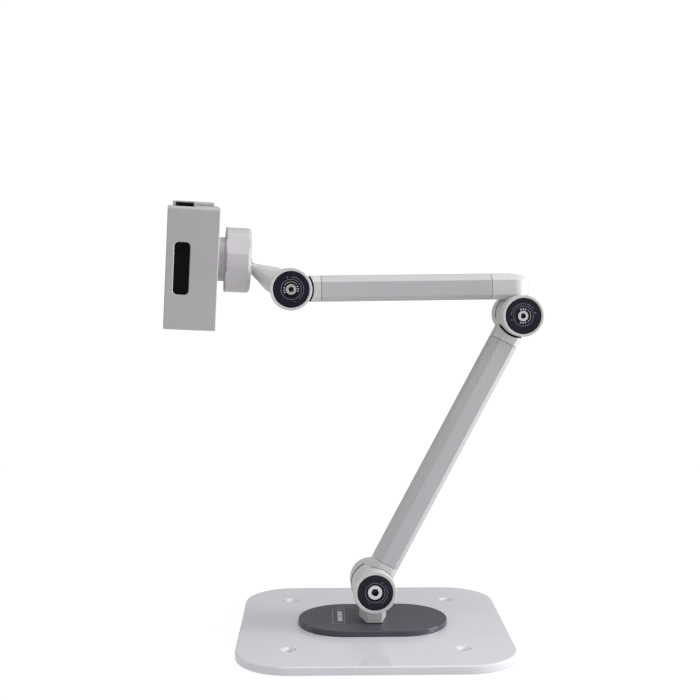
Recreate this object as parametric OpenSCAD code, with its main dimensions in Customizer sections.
// Articulated tablet stand: weighted base, turning post, two folding arms, ball-joint head
// and a spring clamp with two sliding jaws. Millimetres. +X to the right, +Z up, the tablet faces -X.

/* [Base] */
// Side of the square steel base plate
base_w = 185; // [160:1:220]
// Corner radius of the base plate
base_r = 36; // [20:1:45]
// Thickness of the steel base plate
plate_t = 5.5; // [5:0.1:8]
// Thickness of the foam pad under the base
pad_t = 0.8; // [0.6:0.1:2]
// Distance between the desk screw holes
hole_spacing = 115; // [105:1:120]
// Radius of the desk screw holes
hole_r = 2.6; // [2:0.1:3.5]
// Length of the oval plate under the post
oval_w = 104; // [96:1:120]
// Depth of the oval plate
oval_d = 66; // [60:1:72]
// Thickness of the oval plate
oval_t = 4.1; // [3.6:0.1:6]

/* [Arms] */
// Turn of the post and all that it carries on the base
swivel_turn = 2.3; // [-180:0.1:180]
// Height of the shoulder axis above the desk
shoulder_z = 33.2; // [33:0.1:40]
// Length of the lower arm between its two axes
lower_len = 214.4; // [180:0.1:260]
// Angle of the lower arm above the horizontal
lower_angle = 62; // [50:0.1:75]
// Length of the upper arm between its two axes, along the tube
upper_len = 157.2; // [130:0.1:200]
// Height of the upper tube above the elbow axis
upper_offset = 20; // [19:0.1:22]
// Angle by which the upper arm's head end hangs lower
upper_dip = 0.65; // [0:0.05:2]
// Width of the arm tubes, along the hinge axes
tube_w = 24; // [22:0.5:25]
// Height of the arm tubes, across the hinge axes
tube_h = 17.8; // [16:0.1:18]
// Chamfer along the tubes' upper edges
tube_c = 4.3; // [2:0.1:5]
// Chamfer along the tubes' lower edges
tube_low_c = 3.2; // [2:0.1:5]

/* [Hinges] */
// Radius of the hinge hubs at the elbow and the wrist
hub_r = 14.2; // [14:0.1:15]
// Radius of the shoulder's hub
shoulder_hub_r = 14.7; // [14:0.1:15]
// Half of a hub's width
hub_half = 21.5; // [20:0.5:24]
// Radius of the black cap on each hub
cap_r = 12.3; // [11.5:0.1:12.5]
// Radius of the hinge bolts
bolt_r = 4; // [3.5:0.1:4.2]

/* [Head] */
// Distance from the wrist axis to the ball's centre
neck_len = 41.3; // [41:0.1:50]
// Angle by which the neck rises towards the ball
neck_rise = 28.7; // [20:0.1:32]
// Radius of the ball
ball_r = 10; // [9.5:0.1:10]
// Radius of the locking knob
knob_r = 22.8; // [21:0.1:24]
// Lean of the holder, its top away from the user
holder_tilt = 2.9; // [0:0.1:5]
// Turn of the holder to the side
holder_pan = 4.2; // [0:0.1:8]
// Roll of the holder about the ball's axis
holder_roll = 3.8; // [0:0.1:8]

/* [Clamp] */
// Distance between the jaws' outer faces
jaw_span = 223; // [215:1:226]
// Height of the jaws
jaw_h = 73; // [72:0.5:80]
// Width of the jaws, from the front lip to the back
jaw_w = 30.8; // [30:0.1:34]
// Thickness of the jaws' walls
jaw_t = 2.2; // [1.8:0.1:2.4]
// Length of the front lip
lip_len = 14; // [12:0.5:16]
// Length of the jaw's sleeve over the clamp body
sleeve_len = 50; // [48:0.5:52]
// Thickness of the rubber linings
lining_t = 2; // [1.5:0.1:2.5]

/* [Hidden] */
$fn = 96;
eps = 0.02;            // gap between faces of one rigid body
plate_top = pad_t + plate_t;
rim_z = 0.4;           // the plate's rim hangs around the pad down to here
pad_inset = 2.5;
oval_top = plate_top + oval_t;
post_foot = oval_top + 0.3;

// Hinge stack, counted outwards along Y from the arm's mid plane
tongue_half = 5;       // half width of the tongue
ear_in = 6.05;         // inner face of the fork's ears
washer_r = 12.4;
bush_r = 5.2;
shaft_gap = 0.06;      // running clearance of a bolt in its bush
cap_floor = 18.7;      // bottom of the pocket that holds a cap
cap_out = hub_half - 0.35;
head_floor = 13;       // bottom of the counterbore for the bolt's head
head_out = 20.3;
nut_in = 12;
nut_out = 18.4;
nut_r = 7.5;
slot_r = 15.2;         // radius cleared inside a fork for the tongue
ear_gap = 1.4;         // between a fork's ears and the hollow in the arm's end
shoulder_ear_gap = 0.15;
seam_low = 18.9;       // from the shoulder axis to the lower tube
seam_top = 21;         // from the elbow axis to the lower tube
seam_elbow = 19.5;     // from the elbow axis to the upper tube
seam_head = 20.5;      // from the wrist axis to the upper tube
tube_wall = 2;
spigot_len = 22;
spigot_gap = 0.15;
tube_gap = 0.2;        // the fine dark line between a tube and the casting at its end
tube_screw_x = 12;     // from the seam to the screw that holds the tube

// Ball joint, counted along the holder's x axis from the ball's centre, +x away from the tablet
liner_gap = 0.05;
liner_r = ball_r + 1;
seat_r = liner_r + 0.05;
mouth_angle = 62;      // half angle of the opening that the stud moves in
cup_r = 12.43;
cup_bore_r = 12.5;
collar_r = 15;
collar_end = -0.5;
knob_back = 8.6;
knob_front = -8.6;
stud_r = 3.4;          // beside the ball
stud_len = 10.2;
shank_r = 2.45;        // inside the neck
socket_x = 4.5;        // where the knob's conical seat touches the liner
mouth_x = 5.6;         // end of the conical seat, start of the knob's open mouth
knob_flats = 2.4;      // how far the six flats' corners would stand out of the knob's radius
knob_phase = 2;        // turn of the six flats about x

// Clamp body and jaws, in the holder's frame
back_x = -15.8;        // back face of the jaws and of the collar's flange
front_x = back_x - jaw_w;
sleeve_t = 15;
sleeve_wall = 1.75;
sleeve_gap = 0.25;
core_back = back_x - sleeve_wall - sleeve_gap;
core_front = back_x - sleeve_t + sleeve_wall + sleeve_gap;
core_split = (core_back + core_front) / 2;
core_half_y = 66;
core_half_z = jaw_h / 2 - 2 - sleeve_gap;
core_wall = 1.5;
jaw_half = jaw_span / 2;
wall_in = jaw_half - jaw_t;
slider_t = 3;
slider_z = [8, 24];
slider_end = 20;
spring_z = 4;
spring_r = 2.8;
anchor_y = 60;
core_screw = [13, 29];
flange_half = 18;
flange_screw = 13;
jaw_edge_r = 2.4;
slot_w = 9.2;
slot_h = 31;

// ---- Frames: each places its children at a joint, at rest ----

module on_base() rotate([0, 0, swivel_turn]) children();

module at_shoulder() on_base() translate([0, 0, shoulder_z]) children();

// Origin on the shoulder axis, +x along the lower arm
module along_lower_arm() at_shoulder() rotate([0, -lower_angle, 0]) children();

module at_elbow() along_lower_arm() translate([lower_len, 0, 0]) rotate([0, lower_angle, 0]) children();

// Origin on the elbow axis, the upper tube runs towards -x at z = upper_offset
module along_upper_arm() at_elbow() rotate([0, -upper_dip, 0]) children();

module at_head_end() along_upper_arm() translate([-upper_len, 0, upper_offset]) children();

// Origin on the wrist axis, the ball towards -x
module along_neck() at_head_end() rotate([0, upper_dip + neck_rise, 0]) children();

module at_ball() along_neck() translate([-neck_len, 0, 0]) rotate([0, -neck_rise, 0]) children();

module in_tilt() at_ball() rotate([0, holder_tilt, 0]) children();

module in_pan() in_tilt() rotate([0, 0, holder_pan]) children();

module in_holder() in_pan() rotate([holder_roll, 0, 0]) children();

// ---- Shared shapes ----

function arc(c, r, a0, a1, n) =
    [for (i = [0:n]) let (a = a0 + (a1 - a0) * i / n) [c.x + r * cos(a), c.y + r * sin(a)]];

// Outline of a rectangle with round corners
function round_rect(w, d, r, n = 24) = concat(
    arc([w / 2 - r, d / 2 - r], r, 0, 90, n),
    arc([r - w / 2, d / 2 - r], r, 90, 180, n),
    arc([r - w / 2, r - d / 2], r, 180, 270, n),
    arc([w / 2 - r, r - d / 2], r, 270, 360, n));

// A tube's outline, or one inset from it: a rectangle with straight chamfers, larger at the top
function tube_outline(inset = 0) = let (
    w = tube_w / 2 - inset, h = tube_h / 2 - inset, c = tube_c - inset / 2, low_c = tube_low_c - inset / 2)
    [[w, h - c], [w - c, h], [c - w, h], [-w, h - c],
        [-w, low_c - h], [low_c - w, -h], [w - low_c, -h], [w, low_c - h]];

module y_rod(r, y0, y1) translate([0, y1, 0]) rotate([90, 0, 0]) cylinder(r = r, h = y1 - y0);

module x_rod(r, x0, x1) translate([x0, 0, 0]) rotate([0, 90, 0]) cylinder(r = r, h = x1 - x0);

// A cone along x, radius ra at x0 and rb at x1
module x_cone(ra, rb, x0, x1) translate([x0, 0, 0]) rotate([0, 90, 0])
    cylinder(r1 = ra, r2 = rb, h = x1 - x0);

module box(x, y, z) translate([x[0], y[0], z[0]]) cube([x[1] - x[0], y[1] - y[0], z[1] - z[0]]);

// An outline in the YZ plane, drawn from x0 to x1
module yz_prism(points, x0, x1) translate([x0, 0, 0]) rotate([90, 0, 90])
    linear_extrude(x1 - x0) polygon(points);

// An outline in the XZ plane, drawn between y = -half and y = half
module xz_prism(points, half) translate([0, half, 0]) rotate([90, 0, 0])
    linear_extrude(2 * half) polygon(points);

module corners(spacing) for (sx = [-1, 1], sy = [-1, 1])
    translate([sx * spacing[0], sy * spacing[1], 0]) children();

// A countersunk screw along -z, its flat head at z = 0
module flat_screw(head_r, shank_r, length) {
    difference() {
        union() {
            translate([0, 0, -(head_r - shank_r)]) cylinder(r1 = shank_r, r2 = head_r, h = head_r - shank_r);
            translate([0, 0, -length]) cylinder(r = shank_r, h = length);
        }
        translate([0, 0, -0.8 * shank_r]) cylinder(r = 0.8 * shank_r, h = shank_r, $fn = 6);
    }
}

// The hole for a countersunk screw along -z
module flat_screw_hole(head_r, shank_r, length) {
    sink = head_r - shank_r;
    translate([0, 0, -sink]) cylinder(r1 = shank_r, r2 = head_r + 0.1, h = sink + 0.1);
    translate([0, 0, -length]) cylinder(r = shank_r, h = length);
}

// ---- Hinge stack, shared by shoulder, elbow and wrist ----

// A fork's two ears as one hub, before its slot and pockets are cut
module hub_solid(r = hub_r) y_rod(r, -hub_half, hub_half);

// Everything cut out of a fork: the tongue's slot, cap pockets, bolt, head and nut
module fork_cuts() {
    y_rod(slot_r, -ear_in, ear_in);
    for (s = [-1, 1]) mirror([0, s < 0 ? 1 : 0, 0]) y_rod(cap_r + 0.05, cap_floor, hub_half + 1);
    y_rod(bolt_r + 0.05, -hub_half, hub_half);
    y_rod(5.6, -hub_half, -head_floor);
    translate([0, nut_in - 0.1, 0]) rotate([-90, 0, 0]) cylinder(r = nut_r + 0.1, h = hub_half, $fn = 6);
}

// Bolt with a socket head, its head at -y
module pivot_bolt(head_r) color("silver") difference() {
    union() {
        y_rod(bolt_r, -head_floor - 1, nut_out - 0.6);
        y_rod(head_r, -head_out, -head_floor - eps);
        y_rod(5.3, -head_out + 1.6, -head_floor - eps);
    }
    translate([0, -head_out + 3.2, 0]) rotate([90, 0, 0]) cylinder(r = 0.55 * head_r, h = 4, $fn = 6);
}

module pivot_nut() color("silver") difference() {
    translate([0, nut_in, 0]) rotate([-90, 0, 0]) cylinder(r = nut_r, h = nut_out - nut_in, $fn = 6);
    y_rod(bolt_r + 0.05, nut_in - 1, nut_out + 1);
}

module near_cap() color("#1b1b22") difference() {
    y_rod(cap_r, -cap_out, -cap_floor - eps);
    y_rod(5.45, -cap_out - 1, -cap_floor + 1);
}

module far_cap() color("#1b1b22") y_rod(cap_r, cap_floor + eps, cap_out);

module friction_washers() color("#e8e6df") for (s = [-1, 1]) difference() {
    y_rod(washer_r, s < 0 ? -ear_in + eps : tongue_half + eps, s < 0 ? -tongue_half - eps : ear_in - eps);
    y_rod(bolt_r + 0.3, -hub_half, hub_half);
}

module bush() color("#b08d57") difference() {
    y_rod(bush_r, -tongue_half + eps, tongue_half - eps);
    y_rod(bolt_r + shaft_gap, -hub_half, hub_half);
}

// ---- Arm ends and tubes ----

// End of an arm with a tongue on the hinge axis, the tube towards +x from x = seam
module tongue_end(seam, r = hub_r, gap = ear_gap) color("#bebbba") difference() {
    union() {
        y_rod(r, -tongue_half, tongue_half);
        intersection() {
            yz_prism(tube_outline(), 0, seam);
            box([0, seam], [-tongue_half, tongue_half], [-tube_h, tube_h]);
        }
        difference() {
            yz_prism(tube_outline(), 0, seam);
            y_rod(r + gap, -tube_w, tube_w);
        }
        spigot(seam);
    }
    y_rod(bush_r + 0.05, -hub_half, hub_half);
    tube_screw_pilot(seam);
}

// The plug that fits inside a tube, from x = seam
module spigot(seam) yz_prism(tube_outline(tube_wall + spigot_gap), seam - 1, seam + spigot_len);

module tube_screw_pilot(seam) translate([seam + tube_screw_x, 0, -tube_h / 2 + 1])
    cylinder(r = 1.5, h = 8);

// A hollow tube from x0 to x1 with a screw hole near each end, underneath
module arm_tube(x0, x1) color("#b0aeb2") difference() {
    yz_prism(tube_outline(), x0 + tube_gap, x1 - tube_gap);
    yz_prism(tube_outline(tube_wall), x0 - 1, x1 + 1);
    for (x = [x0 + tube_screw_x, x1 - tube_screw_x])
        translate([x, 0, -tube_h / 2]) mirror([0, 0, 1]) flat_screw_hole(2.8, 1.5, 5);
}

// The two screws that hold an arm's ends in its tube
module tube_screws(x0, x1) color("silver") for (x = [x0 + tube_screw_x, x1 - tube_screw_x])
    translate([x, 0, -tube_h / 2 + 0.05]) mirror([0, 0, 1]) flat_screw(2.7, 1.4, 7);

// ---- Base ----

// The pad's shape, grown by play on every side
module pad_shape(play = 0) {
    w = base_w - 2 * pad_inset + 2 * play;
    polygon(round_rect(w, w, base_r - pad_inset + play));
}

module base_pad() color("#2a2a2d") difference() {
    linear_extrude(pad_t) pad_shape();
    corners([hole_spacing / 2, hole_spacing / 2]) translate([0, 0, -1]) cylinder(r = 5, h = pad_t + 2);
}

oval_screw_at = [30, 18];
swivel_sink_r = 9.5;
swivel_sink_top = pad_t + 3.3;

module base_plate() color("#eceaf0") difference() {
    translate([0, 0, rim_z]) linear_extrude(plate_top - rim_z) polygon(round_rect(base_w, base_w, base_r));
    translate([0, 0, -1]) linear_extrude(pad_t + 1) pad_shape(0.1);
    corners([hole_spacing / 2, hole_spacing / 2]) {
        cylinder(r = hole_r, h = plate_top + 1);
        translate([0, 0, plate_top - 2.4]) cylinder(r1 = hole_r, r2 = 5.1, h = 2.5);
    }
    corners(oval_screw_at) translate([0, 0, pad_t]) mirror([0, 0, 1]) flat_screw_hole(3.7, 2.1, 8);
    cylinder(r = swivel_sink_r, h = swivel_sink_top);
    cylinder(r = bolt_r + shaft_gap, h = plate_top + 1);
}

module oval_plate() color("#55565c") difference() {
    translate([0, 0, plate_top]) linear_extrude(oval_t) polygon(round_rect(oval_w, oval_d, oval_d / 2, 32));
    translate([0, 0, plate_top - 1]) cylinder(r = bolt_r + shaft_gap, h = oval_t + 2);
    corners(oval_screw_at) translate([0, 0, plate_top - 1]) cylinder(r = 2.05, h = oval_t);
}

module oval_screws() color("silver") corners(oval_screw_at)
    translate([0, 0, pad_t + 0.05]) mirror([0, 0, 1]) flat_screw(3.5, 1.95, oval_top - pad_t - 1.4);

swivel_washer_r = 8.5;
swivel_washer_top = oval_top + 2;

module swivel_washer() color("#e8e6df") translate([0, 0, oval_top]) difference() {
    cylinder(r = swivel_washer_r, h = 2);
    translate([0, 0, -1]) cylinder(r = bolt_r + 0.3, h = 4);
}

module swivel_spring_washer() color("silver") translate([0, 0, swivel_sink_top - 0.8]) difference() {
    cylinder(r = swivel_washer_r, h = 0.8 - eps);
    translate([0, 0, -1]) cylinder(r = bolt_r + 0.3, h = 3);
}

// ---- Post and shoulder ----

swivel_bolt_top = 17;

module post_fork() color("#c3c0bf") difference() {
    union() {
        on_base() translate([0, 0, post_foot]) linear_extrude(shoulder_z - post_foot)
            polygon([[9.5, 0], [5.4, 16.2], [-5.4, 16.2], [-9.5, 0], [-5.4, -16.2], [5.4, -16.2]]);
        at_shoulder() hub_solid(shoulder_hub_r);
    }
    at_shoulder() fork_cuts();
    translate([0, 0, post_foot - 1])
        cylinder(r = swivel_washer_r + 0.3, h = swivel_washer_top + 0.05 - post_foot + 1);
    cylinder(r = bolt_r + 0.05, h = swivel_bolt_top + 0.3);
}

module swivel_bolt() on_base() color("silver") difference() {
    union() {
        translate([0, 0, pad_t + 0.3]) cylinder(r = 7.5, h = 2);
        translate([0, 0, pad_t + 1]) cylinder(r = bolt_r, h = swivel_bolt_top - pad_t - 1);
    }
    cylinder(r = 2.9, h = pad_t + 1.8, $fn = 6);
}

module shoulder_bolt() at_shoulder() pivot_bolt(5);
module shoulder_nut() at_shoulder() pivot_nut();
module shoulder_near_cap() at_shoulder() near_cap();
module shoulder_far_cap() at_shoulder() far_cap();
module shoulder_washers() at_shoulder() friction_washers();

// ---- Lower arm ----

module lower_arm_foot() along_lower_arm() tongue_end(seam_low, shoulder_hub_r, shoulder_ear_gap);
module lower_arm_tube() along_lower_arm() arm_tube(seam_low, lower_len - seam_top);
module lower_arm_top() along_lower_arm() translate([lower_len, 0, 0]) mirror([1, 0, 0]) tongue_end(seam_top);
module lower_arm_screws() along_lower_arm() tube_screws(seam_low, lower_len - seam_top);
module shoulder_bush() at_shoulder() bush();
module elbow_bush() at_elbow() bush();

// ---- Upper arm and elbow ----

nose_x = -4;            // centre of the round nose of the elbow casting, seen from above
crown_r = 40;           // the casting's top falls towards the nose on this radius
crown_x = -9;

// The casting over the elbow's hub: the tube's outline, then a round nose with the same chamfers
module elbow_nose() {
    top = tube_h / 2;
    half = tube_w / 2;
    yz_prism(tube_outline(), -seam_elbow, nose_x);
    translate([nose_x, 0, 0]) rotate_extrude() polygon([
        [0, -top], [half - tube_low_c, -top], [half, tube_low_c - top],
        [half, top - tube_c], [half - tube_c, top], [0, top]]);
}

module upper_arm_elbow_end() along_upper_arm() color("#bebbba") difference() {
    top = upper_offset + tube_h / 2;
    low = upper_offset - tube_h / 2;
    end = nose_x + tube_w / 2 + 1;
    union() {
        hub_solid();
        intersection() {
            translate([0, 0, upper_offset]) elbow_nose();
            xz_prism(concat([[-seam_elbow, top], [-seam_elbow, low], [end, low]],
                arc([crown_x, top - crown_r], crown_r, acos((end - crown_x) / crown_r), 90, 12)), tube_w);
        }
        translate([0, 0, upper_offset]) mirror([1, 0, 0]) spigot(seam_elbow);
    }
    fork_cuts();
    translate([0, 0, upper_offset]) mirror([1, 0, 0]) tube_screw_pilot(seam_elbow);
}

module upper_arm_tube() at_head_end() arm_tube(seam_head, upper_len - seam_elbow);
module upper_arm_head_end() at_head_end() tongue_end(seam_head);
module upper_arm_screws() at_head_end() tube_screws(seam_head, upper_len - seam_elbow);
module wrist_bush() at_head_end() bush();
module elbow_bolt() along_upper_arm() pivot_bolt(3.6);
module elbow_nut() along_upper_arm() pivot_nut();
module elbow_near_cap() along_upper_arm() near_cap();
module elbow_far_cap() along_upper_arm() far_cap();
module elbow_washers() along_upper_arm() friction_washers();

// ---- Neck, wrist and ball ----

neck_tip = stud_len - neck_len;
neck_hub_x = -13;       // centre of the neck's wide end
neck_hub_r = 9;
neck_waist_x = -28;
neck_waist_r = 4.2;

module neck_fork() along_neck() color("#c3c0bf") difference() {
    union() {
        hub_solid();
        hull() {
            x_rod(neck_waist_r, neck_waist_x, neck_waist_x + 1, $fn = 24);
            for (s = [-1, 1]) translate([neck_hub_x, s * 3, 0]) sphere(r = neck_hub_r, $fn = 24);
            for (s = [-1, 1]) translate([-6, s * 10, 0]) sphere(r = neck_hub_r, $fn = 24);
        }
        x_cone(stud_r, neck_waist_r, neck_tip, neck_waist_x + eps);
    }
    fork_cuts();
    x_rod(shank_r + 0.05, neck_tip - 1, neck_tip + 13);
}

module ball_stud() along_neck() translate([-neck_len, 0, 0]) color("silver") union() {
    sphere(r = ball_r);
    x_rod(stud_r, 0, stud_len - eps);
    x_rod(shank_r, 0, stud_len + 12);
}

module wrist_bolt() along_neck() pivot_bolt(3.6);
module wrist_nut() along_neck() pivot_nut();
module wrist_near_cap() along_neck() near_cap();
module wrist_far_cap() along_neck() far_cap();
module wrist_washers() along_neck() friction_washers();

module ball_liner() in_tilt() color("#d9d6cf") difference() {
    sphere(r = liner_r);
    sphere(r = ball_r + liner_gap);
    x_cone(0.01, 1.2 * liner_r * tan(mouth_angle), 0, 1.2 * liner_r);
}

cup_front = -2;
cup_back = -12.6;

module pressure_cup() in_pan() color("#d9d6cf") difference() {
    x_rod(cup_r, cup_back, cup_front);
    sphere(r = seat_r);
}

module wave_washer() in_pan() color("silver") difference() {
    x_rod(11.8, cup_back - 1, cup_back - 0.1);
    x_rod(7, cup_back - 2, cup_back + 1);
}

// Radius of the knob's conical seat at x: it is tangent to the liner at socket_x
function seat_at(x) = let (touch_r = sqrt(liner_r * liner_r - socket_x * socket_x))
    touch_r + liner_gap - (x - socket_x) * socket_x / touch_r;

module lock_knob() in_pan() color("#c6c3c2") difference() {
    intersection() {
        rotate([0, 90, 0]) rotate_extrude() polygon([
            [0, knob_front], [knob_r - 0.8, knob_front], [knob_r, knob_front + 0.8],
            [knob_r, knob_back - 2], [knob_r - 2, knob_back], [0, knob_back]]);
        translate([knob_front - 1, 0, 0]) rotate([0, 90, 0]) rotate([0, 0, 30 + knob_phase])
            cylinder(r = knob_r + knob_flats, h = knob_back - knob_front + 2, $fn = 6);
    }
    x_rod(collar_r + 0.06, knob_front - 1, 0.2);
    x_cone(seat_at(0), seat_at(mouth_x), 0, mouth_x);
    x_cone(seat_at(mouth_x), 13, mouth_x - 0.01, knob_back + 0.01);
}

// ---- Holder: ball socket and clamp body ----

module flange_screws_at() corners_x([flange_screw, flange_screw], back_x) children();

// Repeats its children at (+-y, +-z) in the plane x, with their z axis towards +x
module corners_x(yz, x) for (sy = [-1, 1], sz = [-1, 1])
    translate([x, sy * yz[0], sz * yz[1]]) rotate([0, 90, 0]) children();

module socket_housing() in_holder() color("#c6c3c2") difference() {
    union() {
        x_rod(collar_r, back_x - 1, collar_end);
        yz_prism(round_rect(2 * flange_half, 2 * flange_half, 4, 8), core_back + eps, back_x);
    }
    x_rod(cup_bore_r, cup_back - 1.1, 0);
    flange_screws_at() flat_screw_hole(2.8, 1.55, 8);
}

module housing_screws() in_holder() color("silver")
    flange_screws_at() translate([0, 0, -0.05]) flat_screw(2.7, 1.4, 5.2);

// One half of the clamp body: a tray whose open side faces the other half
module core_tray(x_out, x_in) difference() {
    inward = x_in > x_out ? 1 : -1;
    floor_x = x_out + inward * core_wall;
    box([min(x_out, x_in), max(x_out, x_in)], [-core_half_y, core_half_y], [-core_half_z, core_half_z]);
    box([min(floor_x, x_in + inward), max(floor_x, x_in + inward)],
        [core_wall - core_half_y, core_half_y - core_wall],
        [core_wall - core_half_z, core_half_z - core_wall]);
}

// The slots in the clamp body's ends that the sliders pass through
module slider_slots() for (s = [-1, 1]) mirror([0, s < 0 ? 1 : 0, 0]) mirror([0, 0, s > 0 ? 1 : 0])
    box([core_split - slider_t / 2 - 0.3, core_split + slider_t / 2 + 0.3],
        [core_half_y - 5, core_half_y + 1], [slider_z[0] - 0.4, slider_z[1] + 0.4]);

module core_posts(r, x0, x1) for (sy = [-1, 1], sz = [-1, 1])
    translate([0, sy * core_screw[0], sz * core_screw[1]]) x_rod(r, x0, x1);

module holder_back_shell() in_holder() color("#b9b7ba") difference() {
    union() {
        core_tray(core_back, core_split + eps);
        core_posts(2.8, core_split + eps, core_back - 1);
        for (sy = [-1, 1], sz = [-1, 1]) translate([0, sy * flange_screw, sz * flange_screw])
            x_rod(2.8, core_split + slider_t / 2 + 0.4, core_back - 1);
        for (s = [-1, 1]) translate([0, s * anchor_y, s * spring_z])
            x_rod(1.4, core_split - 1, core_back - 1);
    }
    slider_slots();
    core_posts(1.3, core_split - 1, core_back - core_wall);
    flange_screws_at() translate([0, 0, -8]) cylinder(r = 1.5, h = 9);
}

module holder_front_shell() in_holder() color("#b9b7ba") difference() {
    union() {
        core_tray(core_front, core_split - eps);
        core_posts(2.8, core_front + 1, core_split - eps);
    }
    slider_slots();
    core_screws_at() flat_screw_hole(2.8, 1.55, 8);
}

// The clamp body's screws enter from the front
module core_screws_at() corners_x(core_screw, core_front) mirror([0, 0, 1]) children();

module holder_screws() in_holder() color("silver")
    core_screws_at() translate([0, 0, -0.05]) flat_screw(2.7, 1.25, 9.2);

module front_pad() in_holder() color("#1d1d20") difference() {
    lining_x = back_x - sleeve_t - lining_t;
    yz_prism(round_rect(36, 49, 5, 8), lining_x, core_front - eps);
    for (z = [-16, -8, 0, 8, 16]) box([lining_x - 1, lining_x + 0.8], [-13, 13], [z - 1, z + 1]);
}

// A closed-coil extension spring, drawn as its outer sleeve
module clamp_spring() color("silver") translate([core_split, 0, spring_z]) difference() {
    y_rod(spring_r, 0.5 - slider_end, anchor_y - 1.6);
    y_rod(spring_r - 0.8, -anchor_y, anchor_y);
}

module clamp_spring_near() in_holder() clamp_spring();
module clamp_spring_far() in_holder() rotate([180, 0, 0]) clamp_spring();

// ---- Jaws: drawn for the far side, mirrored for the near side ----

// A jaw's height, with its two outer edges rounded
function rounded_side() = concat(
    [[0, jaw_h / 2], [0, -jaw_h / 2]],
    arc([jaw_half - jaw_edge_r, jaw_edge_r - jaw_h / 2], jaw_edge_r, 270, 360, 6),
    arc([jaw_half - jaw_edge_r, jaw_h / 2 - jaw_edge_r], jaw_edge_r, 0, 90, 6));

module jaw_bracket() color("#adabaf") difference() {
    intersection() {
        union() {
            box([front_x, back_x], [wall_in, jaw_half], [-jaw_h / 2, jaw_h / 2]);
            box([front_x, front_x + jaw_t], [jaw_half - lip_len, jaw_half], [-jaw_h / 2, jaw_h / 2]);
            box([back_x - sleeve_t, back_x], [jaw_half - sleeve_len, jaw_half], [-jaw_h / 2, jaw_h / 2]);
        }
        yz_prism(rounded_side(), front_x - 1, back_x + 1);
    }
    box([core_front - sleeve_gap, core_back + sleeve_gap], [jaw_half - sleeve_len - 1, wall_in - 0.3],
        [-core_half_z - sleeve_gap, core_half_z + sleeve_gap]);
    translate([front_x + 4.8 + slot_w / 2, jaw_half + 1, 0]) rotate([90, 0, 0])
        linear_extrude(jaw_t + 2) polygon(round_rect(slot_w, slot_h, 2.6, 8));
}

// One U-shaped rubber lining: behind the lip, along the wall and in front of the sleeve
module jaw_lining() color("#19191c") {
    lip_x = front_x + jaw_t + eps;
    sleeve_x = back_x - sleeve_t - eps;
    wall_y = wall_in - eps;
    edge_y = jaw_half - lip_len + 0.6;
    translate([0, 0, -jaw_h / 2 + 1.2]) linear_extrude(jaw_h - 2.4) polygon([
        [lip_x, edge_y], [lip_x, wall_y], [sleeve_x, wall_y], [sleeve_x, edge_y - 8],
        [sleeve_x - lining_t, edge_y - 8], [sleeve_x - lining_t, wall_y - lining_t],
        [lip_x + lining_t, wall_y - lining_t], [lip_x + lining_t, edge_y]]);
}

// The flat bar that guides a jaw inside the clamp body, with a lug that holds its spring
module jaw_slider() color("#77777c") {
    bar_x = [core_split - slider_t / 2, core_split + slider_t / 2];
    union() {
        box(bar_x, [slider_end, wall_in - 0.3 - eps], slider_z);
        box(bar_x, [slider_end, slider_end + 3], [1.2, slider_z[0] + 1]);
    }
}

module near_side() in_holder() mirror([0, 1, 0]) children();
module far_side() in_holder() children();

module jaw_near_bracket() near_side() jaw_bracket();
module jaw_near_lining() near_side() jaw_lining();
module jaw_near_slider() near_side() jaw_slider();
module jaw_far_bracket() far_side() jaw_bracket();
module jaw_far_lining() far_side() jaw_lining();
module jaw_far_slider() far_side() mirror([0, 0, 1]) jaw_slider();

base_pad();
base_plate();
oval_plate();
oval_screws();
swivel_washer();
swivel_spring_washer();
post_fork();
swivel_bolt();
shoulder_bolt();
shoulder_nut();
shoulder_near_cap();
shoulder_far_cap();
shoulder_washers();
lower_arm_foot();
lower_arm_tube();
lower_arm_top();
lower_arm_screws();
shoulder_bush();
elbow_bush();
upper_arm_elbow_end();
upper_arm_tube();
upper_arm_head_end();
upper_arm_screws();
wrist_bush();
elbow_bolt();
elbow_nut();
elbow_near_cap();
elbow_far_cap();
elbow_washers();
neck_fork();
ball_stud();
wrist_bolt();
wrist_nut();
wrist_near_cap();
wrist_far_cap();
wrist_washers();
ball_liner();
pressure_cup();
wave_washer();
lock_knob();
socket_housing();
housing_screws();
holder_back_shell();
holder_front_shell();
holder_screws();
front_pad();
clamp_spring_near();
clamp_spring_far();
jaw_near_bracket();
jaw_near_lining();
jaw_near_slider();
jaw_far_bracket();
jaw_far_lining();
jaw_far_slider();
